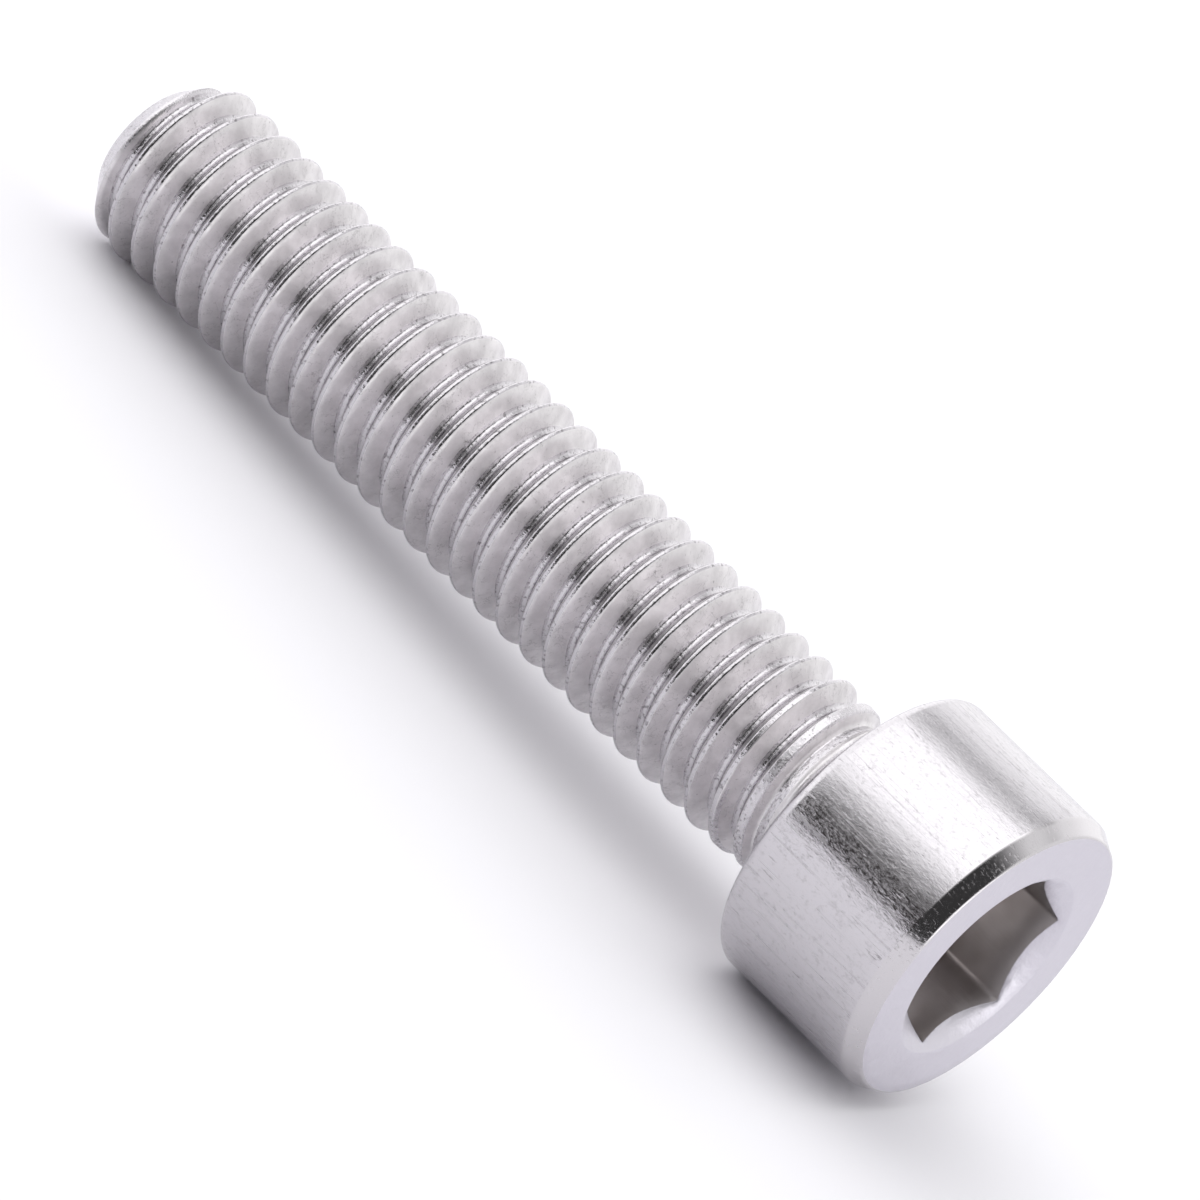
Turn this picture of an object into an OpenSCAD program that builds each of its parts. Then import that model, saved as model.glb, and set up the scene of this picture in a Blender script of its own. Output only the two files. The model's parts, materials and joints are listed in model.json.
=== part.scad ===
// Hex socket cap screw, M6 by 30 mm, threaded to the head, in stainless steel.
// The screw is drawn upright on its own axis, with the bearing face of the head at height zero
// and the shank below it, and is then laid down the way it comes to rest on a table: the rim of
// the head and one crest of the thread near the tip touch the table.

/* [Head] */
// Diameter of the plain turned head (9.78 to 10 in this size)
head_d = 9.8; // [8.6:0.1:12]
// Height of the head above its bearing face (5.7 to 6 in this size)
head_h = 5.7; // [4.8:0.1:8]
// Width of the bevel round the head's top, measured across the top face
bevel_w = 0.3; // [0.1:0.02:0.8]
// Slope of that bevel, from the top face down, in degrees
bevel_angle = 60; // [30:1:65]
// Radius of the rounded edge between the head's side and its bearing face
bearing_edge_r = 0.35; // [0.1:0.05:0.6]

/* [Socket] */
// Width of the hexagon socket across its flats
key_af = 5.1; // [3:0.1:5.6]
// Depth of the socket's flats below the top face
socket_depth = 3.1; // [2:0.1:4]
// How far the countersunk mouth reaches past the socket's corners
mouth_cover = 0.2; // [0.01:0.01:0.4]
// Slope of the countersunk mouth, from the top face down, in degrees
mouth_angle = 35; // [15:1:60]
// Full angle of the cone left by the drill at the socket's bottom, in degrees
drill_angle = 120; // [100:5:140]
// Turn of the socket's corners round the axis, from the lowest line of the head, in degrees
socket_turn = 0; // [0:1:59]

/* [Shank] */
// Outer diameter of the rolled thread, M6 less its running allowance
thread_d = 5.9; // [4.5:0.05:7.5]
// Distance between neighbouring turns of the thread
pitch = 1; // [0.7:0.05:1.25]
// Length of the shank, from the bearing face to the end of the point
shank_l = 30.1; // [12:0.1:40]
// Length of the 45 degree point at the tip
point_l = 0.9; // [0.5:0.1:1.4]
// Length of the plain neck between the bearing face and the last turn
neck_l = 0.8; // [0.5:0.1:2]
// Length over which the thread runs out into the neck
runout_l = 1.2; // [0.6:0.1:3]
// Radius of the fillet between the neck and the bearing face
fillet_r = 0.35; // [0.1:0.05:0.6]
// Height above the tip at which a crest crosses the lowest line of the screw
crest_rise = 0.7; // [0:0.05:1.2]
// Flats that make up one turn of the thread
turn_flats = 30; // [20:1:36]

/* [Hidden] */
steel = [0.78, 0.77, 0.79];
smooth = 96;
spill = 0.5;

// Head and socket, worked out from the values above
head_r = head_d / 2;
face_r = head_r - bevel_w;
bevel_h = bevel_w * tan(bevel_angle);
key_r = key_af / 2 / cos(30);
mouth_r = key_r + mouth_cover;
drill_r = key_af / 2;
drill_h = drill_r / tan(drill_angle / 2);

// Thread form: a crest flat of an eighth of the pitch, 60 degree flanks and a rounded root.
// The plain neck has the diameter of the wire that the thread is rolled from.
sharp_h = pitch * sqrt(3) / 2;
crest_r = thread_d / 2;
root_r = crest_r - 17 / 24 * sharp_h;
neck_r = crest_r - 3 / 8 * sharp_h;
seat_r = neck_r - 0.03;
tip_r = crest_r - point_l;

// One pitch of the thread form as [share of the pitch, share of the sharp height below the crest]
form = [[-1 / 16, 0], [1 / 16, 0], [3 / 8, 5 / 8], [1 / 2, 17 / 24], [5 / 8, 5 / 8]];
lines = len(form);

// The helix starts below the tip and ends inside the neck, where both ends are cut off square
seat_z = -neck_l + 0.3;
start_z = -shank_l + crest_rise - pitch * ceil(1.2 + crest_rise / pitch);
turns = ceil((seat_z - start_z) / pitch) + 1;
steps = turns * turn_flats;

// Pose at rest: the line that touches one full crest near the tip and the head's rounded edge.
// The screw lies on one edge of a flat of its thread, a little turned round its own axis.
lie_turn = -0.75;
rest_r = crest_r * cos(180 / turn_flats - abs(lie_turn));
rest_turn = ceil((point_l - crest_rise) / pitch + 1 / 16);
rest_z = -shank_l + crest_rise + pitch * (rest_turn - 1 / 16);
edge_run = bearing_edge_r - rest_z;
edge_rise = head_r - bearing_edge_r - rest_r;
lie_angle = atan(edge_rise / edge_run) + asin(bearing_edge_r / norm([edge_run, edge_rise]));
lie_height = rest_r * cos(lie_angle) - rest_z * sin(lie_angle);
reach_head = head_h * cos(lie_angle) + face_r * sin(lie_angle);
reach_tip = shank_l * cos(lie_angle) + tip_r * sin(lie_angle);

// Share of the full thread depth at height z, falling to nothing at the neck
function depth_share(z) = min(1, max(0, (-neck_l - z) / runout_l));

// Point of the helix after step k, on line m of the thread form. The steps are half a flat off, so
// that the middle of a flat lies on the lowest line.
function helix_point(k, m) =
    let (a = 360 * (k + 0.5) / turn_flats)
    let (z = start_z + pitch * ((k + 0.5) / turn_flats + form[m][0]))
    let (full_r = crest_r - sharp_h * form[m][1])
    let (r = seat_r + (full_r - seat_r) * depth_share(z))
    [r * cos(a), r * sin(a), z];

// Place of that point in the list. The line after the last is the first line, one turn on.
function at(k, m) =
    m < lines ? k * lines + m
    : k + turn_flats <= steps ? (k + turn_flats) * lines
    : (steps + 1) * lines + k + turn_flats - steps - 1;

module helix() {
    body = [for (k = [0 : steps]) for (m = [0 : lines - 1]) helix_point(k, m)];
    last_line = [for (k = [steps + 1 : steps + turn_flats]) helix_point(k, 0)];
    low_apex = [0, 0, helix_point(0, 0)[2]];
    high_apex = [0, 0, helix_point(steps + turn_flats, 0)[2]];
    low = (steps + 1) * lines + turn_flats;
    high = low + 1;
    skin = [for (k = [0 : steps - 1]) for (m = [0 : lines - 1]) each [
        [at(k, m), at(k, m + 1), at(k + 1, m)],
        [at(k, m + 1), at(k + 1, m + 1), at(k + 1, m)]
    ]];
    low_end = concat(
        [for (k = [0 : turn_flats - 1]) [low, at(k, 0), at(k + 1, 0)]],
        [for (m = [0 : lines - 1]) [low, at(0, m + 1), at(0, m)]]
    );
    high_end = concat(
        [for (k = [steps - turn_flats : steps - 1]) [high, at(k + 1, lines), at(k, lines)]],
        [for (m = [0 : lines - 1]) [high, at(steps, m), at(steps, m + 1)]]
    );
    polyhedron(
        points = concat(body, last_line, [low_apex, high_apex]),
        faces = concat(skin, low_end, high_end),
        convexity = 8
    );
}

// Room that the thread may fill: a 45 degree point at the tip, and square in the neck
module thread_room() {
    wide_r = crest_r + spill;
    rotate_extrude($fn = smooth)
        polygon([
            [0, -shank_l],
            [tip_r, -shank_l],
            [wide_r, -shank_l + wide_r - tip_r],
            [wide_r, seat_z],
            [0, seat_z]
        ]);
}

module thread() {
    intersection() {
        helix();
        thread_room();
    }
}

// Half section of the neck, with its fillet under the head
module neck_section() {
    translate([0, -neck_l])
        square([neck_r, neck_l + spill]);
    difference() {
        translate([0, -fillet_r])
            square([neck_r + fillet_r, fillet_r + spill]);
        translate([neck_r + fillet_r, -fillet_r])
            circle(r = fillet_r, $fn = smooth);
    }
}

// Half section of the head, with its bevel and its rounded bearing edge
module head_section() {
    difference() {
        polygon([
            [0, 0],
            [head_r, 0],
            [head_r, head_h - bevel_h],
            [face_r, head_h],
            [0, head_h]
        ]);
        difference() {
            translate([head_r - bearing_edge_r, -spill])
                square([bearing_edge_r + spill, bearing_edge_r + spill]);
            translate([head_r - bearing_edge_r, bearing_edge_r])
                circle(r = bearing_edge_r, $fn = smooth);
        }
    }
}

// Head and neck, with the seam of their round faces turned aside from the line they rest on
module blank() {
    rotate([0, 0, 90]) {
        rotate_extrude($fn = smooth)
            head_section();
        rotate_extrude($fn = smooth)
            neck_section();
    }
}

// Pressed hexagon, the drilled cone below it and the countersink that guides the key in
module socket() {
    translate([0, 0, head_h - socket_depth])
        rotate([0, 0, socket_turn])
            cylinder(h = socket_depth + spill, r = key_r, $fn = 6);
    translate([0, 0, head_h - socket_depth - drill_h])
        cylinder(h = drill_h, r1 = 0, r2 = drill_r, $fn = smooth);
    mouth_top = mouth_r + spill / tan(mouth_angle);
    translate([0, 0, head_h + spill - mouth_top * tan(mouth_angle)])
        cylinder(h = mouth_top * tan(mouth_angle), r1 = 0, r2 = mouth_top, $fn = smooth);
}

module upright_screw() {
    difference() {
        union() {
            blank();
            thread();
        }
        socket();
    }
}

module cap_screw() {
    color(steel)
        translate([(reach_tip - reach_head) / 2, 0, lie_height])
            rotate([0, 90 - lie_angle, 0])
                rotate([0, 0, lie_turn])
                    upright_screw();
}

cap_screw();
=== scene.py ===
import json
import math

import bmesh
import bpy
from mathutils import Matrix, Vector, noise


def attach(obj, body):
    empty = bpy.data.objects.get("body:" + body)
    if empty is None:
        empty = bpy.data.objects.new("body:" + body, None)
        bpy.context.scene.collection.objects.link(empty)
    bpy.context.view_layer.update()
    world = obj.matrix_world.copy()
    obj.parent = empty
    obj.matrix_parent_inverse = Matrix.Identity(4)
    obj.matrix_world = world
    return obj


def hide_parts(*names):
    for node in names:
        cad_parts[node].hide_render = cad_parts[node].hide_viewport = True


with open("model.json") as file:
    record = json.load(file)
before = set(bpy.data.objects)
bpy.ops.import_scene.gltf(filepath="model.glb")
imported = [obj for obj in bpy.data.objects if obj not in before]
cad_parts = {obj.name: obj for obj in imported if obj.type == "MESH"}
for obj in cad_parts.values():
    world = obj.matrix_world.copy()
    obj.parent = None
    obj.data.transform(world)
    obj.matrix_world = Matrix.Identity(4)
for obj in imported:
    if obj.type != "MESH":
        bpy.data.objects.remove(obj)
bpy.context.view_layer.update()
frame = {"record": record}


# Camera. A long lens looks at the screw from the head's side and a little from above. It is rolled,
# so that the screw runs down the picture from the upper left to the lower right.
MM = 0.001
camera_data = bpy.data.cameras.new("camera")
camera_data.sensor_width = 36
camera_data.lens = 292.62
camera_data.clip_start = 0.01
camera_data.clip_end = 20
camera = bpy.data.objects.new("camera", camera_data)
bpy.context.scene.collection.objects.link(camera)
bpy.context.scene.camera = camera

aim = Vector((1.922, 0, 3.858)) * MM
distance = 272.60 * MM
azimuth = math.radians(23.561)
elevation = math.radians(19.936)
roll = math.radians(-39.991)
backward = Vector((
    math.sin(azimuth) * math.cos(elevation),
    -math.cos(azimuth) * math.cos(elevation),
    math.sin(elevation),
))
level_right = Vector((0, 0, 1)).cross(backward).normalized()
level_up = backward.cross(level_right)
camera_up = math.cos(roll) * level_up + math.sin(roll) * level_right
camera_right = camera_up.cross(backward)
turned = Matrix((camera_right, camera_up, backward)).transposed().to_4x4()
camera.matrix_world = Matrix.Translation(aim + distance * backward) @ turned


# Studio. The screw lies on a sheet of white card under a broad soft light, with white walls behind
# it and at its ends. The side that the camera stands on is open and dark above the table.
def add_node(tree, kind, inputs=None, **settings):
    """Adds a node, sets it up and fills its inputs with values or with other nodes' outputs."""
    made = tree.nodes.new(kind)
    for name, value in settings.items():
        setattr(made, name, value)
    for key, value in (inputs or {}).items():
        if isinstance(value, bpy.types.NodeSocket):
            tree.links.new(value, made.inputs[key])
        else:
            made.inputs[key].default_value = value
    return made


def linear(colour):
    """The linear colour of an sRGB hex value."""
    shares = [int(colour[k:k + 2], 16) / 255 for k in (0, 2, 4)]
    return [c / 12.92 if c <= 0.04045 else ((c + 0.055) / 1.055) ** 2.4 for c in shares] + [1]


world = bpy.data.worlds.new("studio")
bpy.context.scene.world = world
world.use_nodes = True
sky = world.node_tree
sky.nodes.clear()

# Brightness of the studio round the screw's long side: degrees up from the horizon on the camera's
# side, over the top and down to the horizon behind, and the light that comes from there.
light_round = [
    (0, 0.05), (14, 0.05), (27, 0.45), (40, 1.25), (54, 1.80), (98, 1.80),
    (110, 0.95), (121, 0.60), (134, 1.22), (160, 1.40), (180, 1.30),
]
brightest = 2.0
shade_tint = (1.07, 0.98, 0.97)
shade_light = 0.3
tip_end_light = 1.55
head_end_light = 1.9

direction = add_node(sky, "ShaderNodeTexCoord").outputs["Generated"]
split = add_node(sky, "ShaderNodeSeparateXYZ", {0: direction}).outputs
to_camera_side = add_node(sky, "ShaderNodeMath", {0: split["Y"], 1: -1}, operation="MULTIPLY").outputs[0]
height = add_node(sky, "ShaderNodeMath", {0: split["Z"]}, operation="ABSOLUTE").outputs[0]
rise = add_node(sky, "ShaderNodeMath", {0: height, 1: to_camera_side}, operation="ARCTAN2").outputs[0]
share = add_node(sky, "ShaderNodeMath", {0: rise, 1: math.pi}, operation="DIVIDE").outputs[0]
ramp = add_node(sky, "ShaderNodeValToRGB", {0: share})
ramp.color_ramp.interpolation = "EASE"
while len(ramp.color_ramp.elements) < len(light_round):
    ramp.color_ramp.elements.new(0.5)
for element, (degrees, light) in zip(ramp.color_ramp.elements, light_round):
    tint = shade_tint if light < shade_light else (1, 1, 1)
    element.position = degrees / 180
    element.color = [light / brightest * part for part in tint] + [1]
# Towards the head's end the dark side of the studio reaches higher up
near_head = add_node(
    sky, "ShaderNodeMapRange", {"Value": split["X"], "From Min": -0.05, "From Max": 0.45},
    interpolation_type="SMOOTHSTEP",
).outputs[0]
shaded = add_node(
    sky, "ShaderNodeMapRange", {
        "Value": rise, "From Min": math.radians(72), "From Max": math.radians(112),
        "To Min": 0.05 / brightest, "To Max": 1.05 / brightest,
    }, interpolation_type="SMOOTHSTEP",
).outputs[0]
studio_light = add_node(
    sky, "ShaderNodeMix", {"Factor": near_head, 6: ramp.outputs[0], 7: shaded}, data_type="RGBA",
).outputs[2]
for from_x, to_x, light in ((-0.45, -0.62, tip_end_light), (0.80, 0.93, head_end_light)):
    near_end = add_node(
        sky, "ShaderNodeMapRange",
        {"Value": split["X"], "From Min": from_x, "From Max": to_x}, interpolation_type="SMOOTHSTEP",
    ).outputs[0]
    end_colour = [light / brightest] * 3 + [1]
    studio_light = add_node(
        sky, "ShaderNodeMix", {"Factor": near_end, 6: studio_light, 7: end_colour}, data_type="RGBA",
    ).outputs[2]
studio = add_node(sky, "ShaderNodeBackground", {"Color": studio_light, "Strength": brightest})
add_node(sky, "ShaderNodeOutputWorld", {0: studio.outputs[0]})

# The card is a matt sheet, so pale that the studio's light makes it white to the camera and to the
# steel alike.
card_colour = "FAF9FD"
card_size = 3.0
card_material = bpy.data.materials.new("white_card")
card_material.use_nodes = True
paint = card_material.node_tree
paint.nodes.clear()
card_surface = add_node(paint, "ShaderNodeBsdfDiffuse", {"Color": linear(card_colour)})
add_node(paint, "ShaderNodeOutputMaterial", {0: card_surface.outputs[0]})

card_mesh = bpy.data.meshes.new("white_card")
corners = [(x * card_size / 2, y * card_size / 2, 0) for x, y in ((-1, -1), (1, -1), (1, 1), (-1, 1))]
card_mesh.from_pydata(corners, [], [(0, 1, 2, 3)])
card_mesh.materials.append(card_material)
card = bpy.data.objects.new("white_card", card_mesh)
bpy.context.scene.collection.objects.link(card)

view = bpy.context.scene.view_settings
view.view_transform = "Standard"


# Screw. One piece of stainless steel, cold-headed from wire. The head is turned, the hexagon socket
# is pressed into it, and the thread is rolled. It lies on the edge of its head and on one crest.
mounts = {mount["name"]: mount for mount in frame["record"]["mounts"]}
axis = Vector(mounts["hex_socket"]["axis"]).normalized()
bearing_centre = Vector(mounts["bearing_face"]["pos_m"])
bearing_centre.y = 0
sideways = Vector((0, 1, 0))
downwards = sideways.cross(axis)
screw_frame = Matrix((downwards, sideways, axis)).transposed()
screw_place = Matrix.Translation(bearing_centre) @ screw_frame.to_4x4() @ Matrix.Scale(MM, 4)

head_r = mounts["head_side"]["dims"]["r_mm"] - 0.002
head_h = 5.7
face_r = 4.6
bevel_h = 0.52
bearing_edge_r = 0.35
key_half = 2.55
socket_depth = 3.1
mouth_r = 3.144
mouth_slope = math.tan(math.radians(35))
socket_turn = 0
crest_r = 2.94
pitch = 1.0
shank_l = 30.098
tip_r = 2.05
neck_r = 2.625
neck_l = 0.8
runout_l = 1.2
fillet_r = 0.35
crest_rise = 0.7

TURNED, BEVEL, PRESSED, SOCKET, ROLLED, CREST, TORN = range(7)
shape = bmesh.new()


def point(radius, angle, height):
    """A vertex at a radius and an angle round the axis, at a height over the bearing face, in mm."""
    return shape.verts.new((radius * math.cos(angle), radius * math.sin(angle), height))


def skin(rings, finish):
    """Joins neighbouring rings of vertices with faces."""
    for lower, upper in zip(rings, rings[1:]):
        for k in range(len(lower)):
            step = (k + 1) % len(lower)
            face = shape.faces.new((lower[k], lower[step], upper[step], upper[k]))
            face.material_index = finish
            face.smooth = True


# The head is a stack of rings, each with its columns at the same angles. A column runs down each
# corner of the hexagon.
columns = 192
angles = [socket_turn + 2 * math.pi * k / columns for k in range(columns)]


def ring(radius, height):
    """A ring of vertices. Radius and height are sizes, or functions of the angle."""
    at_radius = radius if callable(radius) else lambda angle: radius
    at_height = height if callable(height) else lambda angle: height
    return [point(at_radius(angle), angle, at_height(angle)) for angle in angles]


def arc(centre_r, centre_h, radius, start, end, steps):
    """Rings round a quarter of a turned edge, from one angle of its section to another."""
    turns = [math.radians(start + (end - start) * k / steps) for k in range(steps + 1)]
    return [ring(centre_r + radius * math.cos(t), centre_h + radius * math.sin(t)) for t in turns]


corner_r = 0.10
corner_centre = (key_half - corner_r) / math.cos(math.radians(30))
corner_start = math.atan((key_half - corner_r) * math.tan(math.radians(30)) / key_half)


def hexagon_r(angle):
    """Radius of the socket's wall, a hexagon with small rounded corners."""
    from_corner = (angle - socket_turn + math.pi / 6) % (math.pi / 3) - math.pi / 6
    from_flat = math.pi / 6 - abs(from_corner)
    if from_flat < corner_start:
        return key_half / math.cos(from_flat)
    aside = corner_centre * math.sin(from_corner)
    return corner_centre * math.cos(from_corner) + math.sqrt(corner_r ** 2 - aside ** 2)


def mouth_h(angle):
    """Height at which the socket's wall meets the countersunk mouth."""
    return head_h - (mouth_r - hexagon_r(angle)) * mouth_slope


soft = 0.03
floor_h = head_h - socket_depth
drill_h = key_half / math.tan(math.radians(60))
socket_floor = [
    ring(0.02, floor_h - drill_h),
    ring(key_half * 0.5, floor_h - drill_h * 0.5),
    ring(key_half - soft, floor_h - soft / 2),
    ring(lambda angle: hexagon_r(angle) - soft / 2, floor_h),
]
socket_wall = [
    ring(hexagon_r, floor_h + soft),
    ring(hexagon_r, floor_h + 1),
    ring(hexagon_r, floor_h + 2),
    ring(hexagon_r, lambda angle: mouth_h(angle) - soft),
]
socket_mouth = [
    ring(lambda angle: hexagon_r(angle) + soft / 3, lambda angle: mouth_h(angle) + soft / 6),
    ring(lambda angle: (hexagon_r(angle) + mouth_r) / 2, lambda angle: (mouth_h(angle) + head_h) / 2),
    ring(mouth_r, head_h - soft / 6),
    ring(mouth_r + soft, head_h),
]
skin(socket_floor + socket_wall, SOCKET)
skin([socket_wall[-1]] + socket_mouth, PRESSED)

bevel_low = head_h - bevel_h
face_rings = [socket_mouth[-1]] + [ring(radius, head_h) for radius in (3.3, 3.8, 4.3, face_r - soft)]
skin(face_rings, PRESSED)
bevel_edge = [ring(face_r + soft / 2, head_h - soft / 2)]
bevel = [ring(face_r + 0.05, head_h - 0.087), ring(head_r - 0.04, bevel_low + 0.069)]
bevel_foot = [ring(head_r - soft / 3, bevel_low + soft / 2), ring(head_r, bevel_low - soft)]
skin([face_rings[-1]] + bevel_edge + bevel + bevel_foot, BEVEL)
side = [ring(head_r, bearing_edge_r + (bevel_low - bearing_edge_r) * k / 8) for k in (7, 6, 5, 4, 3, 2, 1)]
bearing_edge = arc(head_r - bearing_edge_r, bearing_edge_r, bearing_edge_r, 0, -90, 8)
skin([bevel_foot[-1]] + side + bearing_edge, TURNED)
fillet = arc(neck_r + fillet_r, -fillet_r, fillet_r, 90, 180, 8)
skin([bearing_edge[-1], ring(3.8, 0)] + fillet, ROLLED)
neck_end = ring(neck_r, -neck_l + 0.15)
skin([fillet[-1], neck_end], ROLLED)
tip_of_drill = shape.faces.new(socket_floor[0][::-1])
tip_of_drill.material_index = SOCKET

# The thread is a strip that winds round the shank. Across the strip lie the crest, which the rolling
# dies leave rounded, the 60 degree flanks and the rounded root.
sharp_h = pitch * math.sqrt(3) / 2
crest_half = pitch / 16
root_arc_r = sharp_h / 6
root_depth = sharp_h * 17 / 24
steps_round = 120
crest_line = [
    (-0.115, 0.0909), (-0.092, 0.058), (-0.068, 0.031), (-0.044, 0.012), (-0.020, 0.002),
    (0, 0), (0.022, 0.004), (0.043, 0.014), (0.062, 0.028), (0.080, 0.047), (0.098, 0.071),
    (0.120, 0.0996),
]
crest_rows = [place for place, depth in crest_line]
crest_end = len(crest_rows) - 4
flank_rows = [0.17, 0.27, 0.36]
root_start = len(crest_rows + flank_rows) - 1
root_rows = [0.41, 0.455, 0.5, 0.545, 0.59]
rows = crest_rows + flank_rows + root_rows + [1 - row for row in reversed(flank_rows)]


def thread_depth(share):
    """Depth below the crest at a share of the pitch from the crest's middle."""
    offset = (share - round(share)) * pitch
    for (start, high), (end, low) in zip(crest_line, crest_line[1:]):
        if start <= offset <= end:
            return high + (low - high) * (offset - start) / (end - start)
    to_root = pitch / 2 - abs(offset)
    if to_root < root_arc_r * math.cos(math.radians(30)):
        return root_depth - root_arc_r + math.sqrt(root_arc_r ** 2 - to_root ** 2)
    return (abs(offset) - crest_half) / math.tan(math.radians(30))


def thread_r(share, angle, height):
    """Radius of the rolled surface, with its run-out at the neck and the point at the tip."""
    wobble = noise.noise(Vector((5 * math.cos(angle), 5 * math.sin(angle), height * 2)))
    radius = crest_r - thread_depth(share)
    formed = min(1, max(0, (-neck_l - height) / runout_l))
    rest = min(1, max(0, (-neck_l - height) / (2 * runout_l)))
    top = neck_r + (crest_r - neck_r) * rest ** 0.5 + 0.01 * wobble * (rest < 1)
    bottom = neck_r - (neck_r - crest_r + root_depth) * formed
    radius = min(top, max(bottom, radius))
    cone = tip_r + height + shank_l
    blend = 0.025
    gap = (radius - cone) / blend
    if gap > 30:
        return cone
    return radius - blend * math.log1p(math.exp(gap))


start_h = -shank_l + crest_rise - 3 * pitch
turns = math.ceil((-neck_l - start_h) / pitch) + 1
strip = []
for step in range(turns * steps_round + 1):
    turn = step / steps_round
    angle = 2 * math.pi * turn
    heights = [start_h + pitch * (turn + row) for row in rows]
    strip.append([point(thread_r(row, angle, h), angle, h) for row, h in zip(rows, heights)])
for step, (here, there) in enumerate(zip(strip, strip[1:])):
    above = step + steps_round
    joined_here = here + ([strip[above][0]] if above < len(strip) else [])
    joined_there = there + ([strip[above + 1][0]] if above + 1 < len(strip) else [])
    for m in range(min(len(joined_here), len(joined_there)) - 1):
        face = shape.faces.new((joined_here[m], joined_there[m], joined_there[m + 1], joined_here[m + 1]))
        burnished = m < crest_end or root_start <= m < len(rows) - 3
        at_neck = joined_here[m].co.z > -neck_l - 1.7 and m < len(crest_rows)
        at_tip = joined_here[m].co.z < -shank_l + 0.6
        face.material_index = TORN if at_neck or at_tip else CREST if burnished else ROLLED
        face.smooth = True

# The winding strip is cut square at the tip and in the neck, closed at the tip and joined to the head.
thread_verts = {vert for line in strip for vert in line}
for cut_h, normal in ((-neck_l + 0.05, (0, 0, 1)), (-shank_l, (0, 0, -1))):
    part = [v for v in thread_verts if v.is_valid]
    faces = {f for v in part for f in v.link_faces}
    edges = {e for f in faces for e in f.edges}
    cut = bmesh.ops.bisect_plane(
        shape, geom=list(part) + list(edges) + list(faces), dist=1e-6,
        plane_co=(0, 0, cut_h), plane_no=normal, clear_outer=True,
    )
open_edges = [e for e in shape.edges if e.is_boundary]
tip_edges = [e for e in open_edges if e.verts[0].co.z < -shank_l + 0.01]
neck_edges = [e for e in open_edges if e.verts[0].co.z > -neck_l - 0.1]
tip_face = bmesh.ops.contextual_create(shape, geom=tip_edges)["faces"]
bmesh.ops.bridge_loops(shape, edges=neck_edges)
for face in tip_face:
    face.material_index = ROLLED
bmesh.ops.recalc_face_normals(shape, faces=shape.faces)
shape.transform(screw_place)

screw_mesh = bpy.data.meshes.new("cap_screw_steel")
shape.to_mesh(screw_mesh)
shape.free()
screw = bpy.data.objects.new("cap_screw_steel", screw_mesh)
bpy.context.scene.collection.objects.link(screw)
even = screw.modifiers.new("flat_faces_stay_flat", "WEIGHTED_NORMAL")
even.weight = 50


# Steel of the screw. Stainless steel, of which each part of the screw has its own finish: fine
# scratches along the turned head, a dull pressed face, a socket with oil stains and painted shade, and
# burnished rolled flanks.
def steel_finish(name, colour, roughness):
    """A new stainless finish, with its shader and the place on the screw in millimetres."""
    material = bpy.data.materials.new(name)
    material.use_nodes = True
    tree = material.node_tree
    tree.nodes.clear()
    surface = add_node(tree, "ShaderNodeBsdfPrincipled", {
        "Base Color": linear(colour), "Metallic": 1, "Roughness": roughness,
    })
    add_node(tree, "ShaderNodeOutputMaterial", {0: surface.outputs[0]})
    where = add_node(tree, "ShaderNodeTexCoord").outputs["Object"]
    place = add_node(tree, "ShaderNodeMapping", {
        "Vector": where, "Location": bearing_centre, "Rotation": screw_frame.to_euler(),
        "Scale": [MM] * 3,
    }, vector_type="TEXTURE").outputs[0]
    screw_mesh.materials.append(material)
    return tree, surface, place


def grain(tree, place, stretch, scale, detail, roughness=0.6):
    """Noise on the screw, drawn out along the axes by the shares in stretch."""
    spread = add_node(tree, "ShaderNodeMapping", {"Vector": place, "Scale": stretch}).outputs[0]
    return add_node(tree, "ShaderNodeTexNoise", {
        "Vector": spread, "Scale": scale, "Detail": detail, "Roughness": roughness,
    }).outputs["Fac"]


def remap(tree, value, low, high, to_low, to_high):
    """Brings a value from one range to another, held at its ends."""
    return add_node(tree, "ShaderNodeMapRange", {
        "Value": value, "From Min": low, "From Max": high, "To Min": to_low, "To Max": to_high,
    }).outputs[0]


def add(tree, first, second):
    """Sum of two values."""
    return add_node(tree, "ShaderNodeMath", {0: first, 1: second}, operation="ADD").outputs[0]


def relief(tree, surface, height):
    """Bump from a height in millimetres."""
    bump = add_node(tree, "ShaderNodeBump", {"Height": height, "Distance": MM, "Strength": 1})
    tree.links.new(bump.outputs[0], surface.inputs["Normal"])


def stain_and_shade(tree, surface, clean, worn_and_shaded, share):
    """Colours the steel between a clean and a darker tone by a share; the darker tone paints stains and
    wear, and in some finishes painted shade.
    """
    tone = add_node(tree, "ShaderNodeMix", {
        "Factor": share, 6: linear(clean), 7: linear(worn_and_shaded),
    }, data_type="RGBA").outputs[2]
    tree.links.new(tone, surface.inputs["Base Color"])


def hairlines(tree, field, half_width):
    """Thin wandering lines where a noise field crosses its middle, 1 on the line and 0 beside it."""
    off = add_node(tree, "ShaderNodeMath", {0: field, 1: 0.5}, operation="SUBTRACT").outputs[0]
    apart = add_node(tree, "ShaderNodeMath", {0: off}, operation="ABSOLUTE").outputs[0]
    return remap(tree, apart, 0, half_width, 1, 0)


def times(tree, first, second):
    """Product of two values."""
    return add_node(tree, "ShaderNodeMath", {0: first, 1: second}, operation="MULTIPLY").outputs[0]


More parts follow.
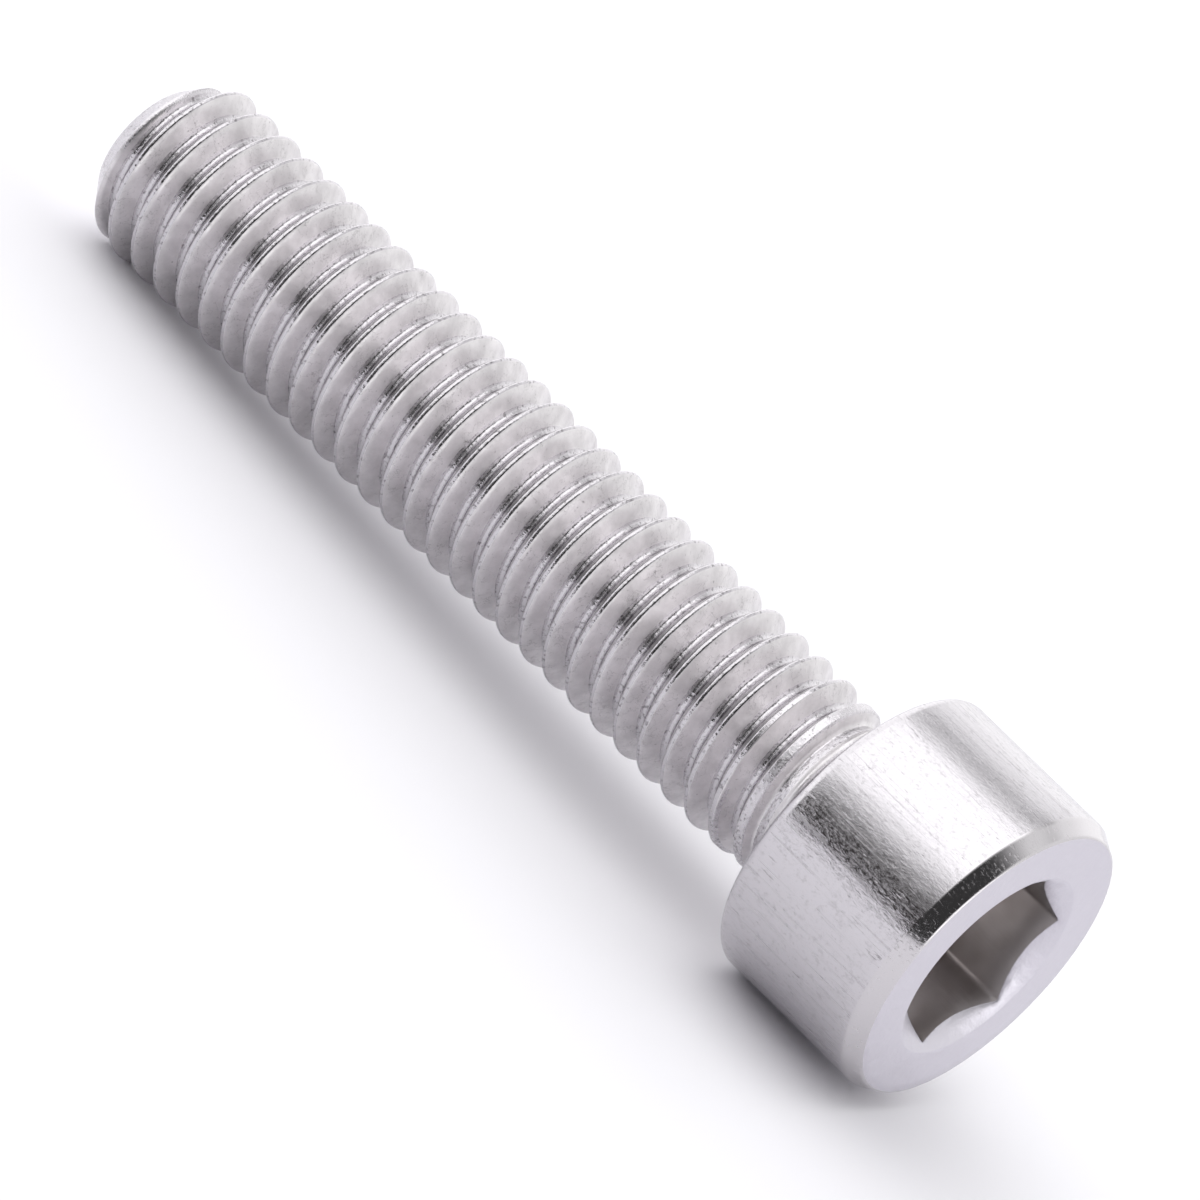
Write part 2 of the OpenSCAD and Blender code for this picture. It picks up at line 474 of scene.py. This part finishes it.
# Turned head: bright steel with dull specks and fine scratches along the axis. A dull speck
# scatters, so it looks light where the steel mirrors the dark side and dark where it mirrors light.
tree, surface, place = steel_finish("turned_stainless_steel", "C3C0C4", 0.15)
scratches = remap(tree, grain(tree, place, (1, 1, 0.02), 13, 3, 0.6), 0.58, 0.64, 0, 1)
specks = remap(tree, grain(tree, place, (1, 1, 0.6), 12, 4, 0.7), 0.42, 0.66, 0, 1)
dashes = remap(tree, grain(tree, place, (1, 1, 0.16), 7, 4, 0.7), 0.64, 0.70, 0, 1)
swell = grain(tree, place, (1, 1, 0.3), 3.5, 3)
height = add(tree, remap(tree, swell, 0.3, 0.7, 0, 0.0040), remap(tree, dashes, 0, 1, 0, -0.004))
relief(tree, surface, add(tree, height, remap(tree, specks, 0, 1, 0, -0.0016)))
pocks = remap(tree, grain(tree, place, (1, 1, 0.6), 6, 4, 0.75), 0.54, 0.66, 0, 1)
marks = add(tree, times(tree, dashes, 0.5), times(tree, scratches, 0.15))
marks = add(tree, marks, times(tree, pocks, 0.20))
stain_and_shade(tree, surface, "CBC8CC", "6E6A6C", marks)
dull = add(tree, times(tree, specks, 0.17), times(tree, scratches, 0.14))
tree.links.new(add(tree, dull, 0.10), surface.inputs["Roughness"])

# Bevel: cut last and brighter, so it mirrors the dark side of the studio, with scratches across it
tree, surface, place = steel_finish("bevel_stainless_steel", "CBC8CB", 0.14)
scratches = remap(tree, grain(tree, place, (1, 1, 0.08), 12, 3, 0.6), 0.56, 0.66, 0, 1)
specks = remap(tree, grain(tree, place, (1, 1, 0.5), 14, 3, 0.6), 0.45, 0.66, 0, 1)
relief(tree, surface, remap(tree, scratches, 0, 1, 0, -0.0012))
dull = add(tree, times(tree, specks, 0.08), times(tree, scratches, 0.16))
tree.links.new(add(tree, dull, 0.11), surface.inputs["Roughness"])

# Pressed face: a dull skin with faint clouds
tree, surface, place = steel_finish("pressed_stainless_steel", "CECBD3", 0.40)
clouds = grain(tree, place, (1, 1, 1), 1.6, 3)
skin_grain = grain(tree, place, (1, 1, 1), 10, 4)
height = add(tree, remap(tree, clouds, 0.3, 0.7, 0, 0.02), remap(tree, skin_grain, 0.3, 0.7, 0, 0.0016))
relief(tree, surface, height)

# Socket walls: drawn marks down the walls, and brown blotches that are partly a stain of pressing oil and
# partly painted shade in the socket
tree, surface, place = steel_finish("pressed_socket_steel", "CCC8C8", 0.34)
drawn = grain(tree, place, (1, 1, 0.12), 3.5, 4)
relief(tree, surface, remap(tree, drawn, 0.3, 0.7, 0, 0.004))
# Brown blotches in the socket: partly a stain of pressing oil, partly painted shade of the recess
oil_stain_and_painted_shade = remap(tree, grain(tree, place, (1, 1, 1), 0.5, 2), 0.40, 0.65, 0, 1)
stain_and_shade(tree, surface, "CECACA", "B4AEAC", oil_stain_and_painted_shade)

# Rolled thread: satin flanks with warm clouds, dark hairlines and small pits
tree, surface, place = steel_finish("rolled_stainless_steel", "C8C5C7", 0.38)
clouds = grain(tree, place, (1, 1, 1), 1.7, 4)
pits = remap(tree, grain(tree, place, (1, 1, 1), 8, 4, 0.6), 0.66, 0.74, 0, 1)
fine = grain(tree, place, (1, 1, 1), 9, 2)
hair = times(
    tree, hairlines(tree, grain(tree, place, (1, 1, 1), 2.6, 4), 0.014),
    remap(tree, grain(tree, place, (1, 1, 1), 1.3, 2), 0.45, 0.58, 0, 1),
)
height = add(tree, remap(tree, clouds, 0.3, 0.7, 0, 0.008), remap(tree, pits, 0, 1, 0, -0.006))
height = add(tree, height, remap(tree, fine, 0.3, 0.7, 0, 0.0018))
relief(tree, surface, height)
marks = add(tree, times(tree, pits, 0.5), times(tree, hair, 0.4))
stain_and_shade(tree, surface, "E3E0E2", "777375", add(tree, marks, remap(tree, clouds, 0.35, 0.65, 0.20, 0)))
tree.links.new(remap(tree, clouds, 0.3, 0.7, 0.42, 0.32), surface.inputs["Roughness"])

# Crest and root of the thread: burnished by the rolling dies, with ragged bright and dark lines. The dark
# patches in their colour are partly ragged marks and partly painted shade on the crests and in the roots
tree, surface, place = steel_finish("burnished_stainless_steel", "CBC8CC", 0.15)
ragged = grain(tree, place, (1, 1, 1), 7, 3, 0.6)
# Dark patches on the crests and in the roots: partly ragged marks, partly painted shade
ragged_marks_and_painted_shade = remap(tree, grain(tree, place, (1, 1, 1), 8, 3, 0.6), 0.56, 0.66, 0, 1)
relief(tree, surface, remap(tree, ragged, 0.3, 0.7, 0, 0.0085))
stain_and_shade(tree, surface, "CBC8CC", "5A5658", times(tree, ragged_marks_and_painted_shade, 0.6))

# Ends of the thread: where the dies hardly reach, the skin is frosty and torn into short dark cracks
tree, surface, place = steel_finish("torn_stainless_steel", "CECBCF", 0.28)
frost = grain(tree, place, (1, 1, 1), 8, 4, 0.65)
patches = remap(tree, grain(tree, place, (1, 1, 1), 1.6, 2), 0.45, 0.6, 0, 1)
cracks = times(tree, remap(tree, grain(tree, place, (1, 1, 1), 10, 3, 0.6), 0.54, 0.64, 0, 1), patches)
relief(tree, surface, remap(tree, frost, 0.3, 0.7, 0, 0.009))
stain_and_shade(tree, surface, "D2CFD3", "6A6668", times(tree, cracks, 0.7))
tree.links.new(remap(tree, frost, 0.4, 0.6, 0.36, 0.20), surface.inputs["Roughness"])

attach(screw, "root")
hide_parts("cap_screw")
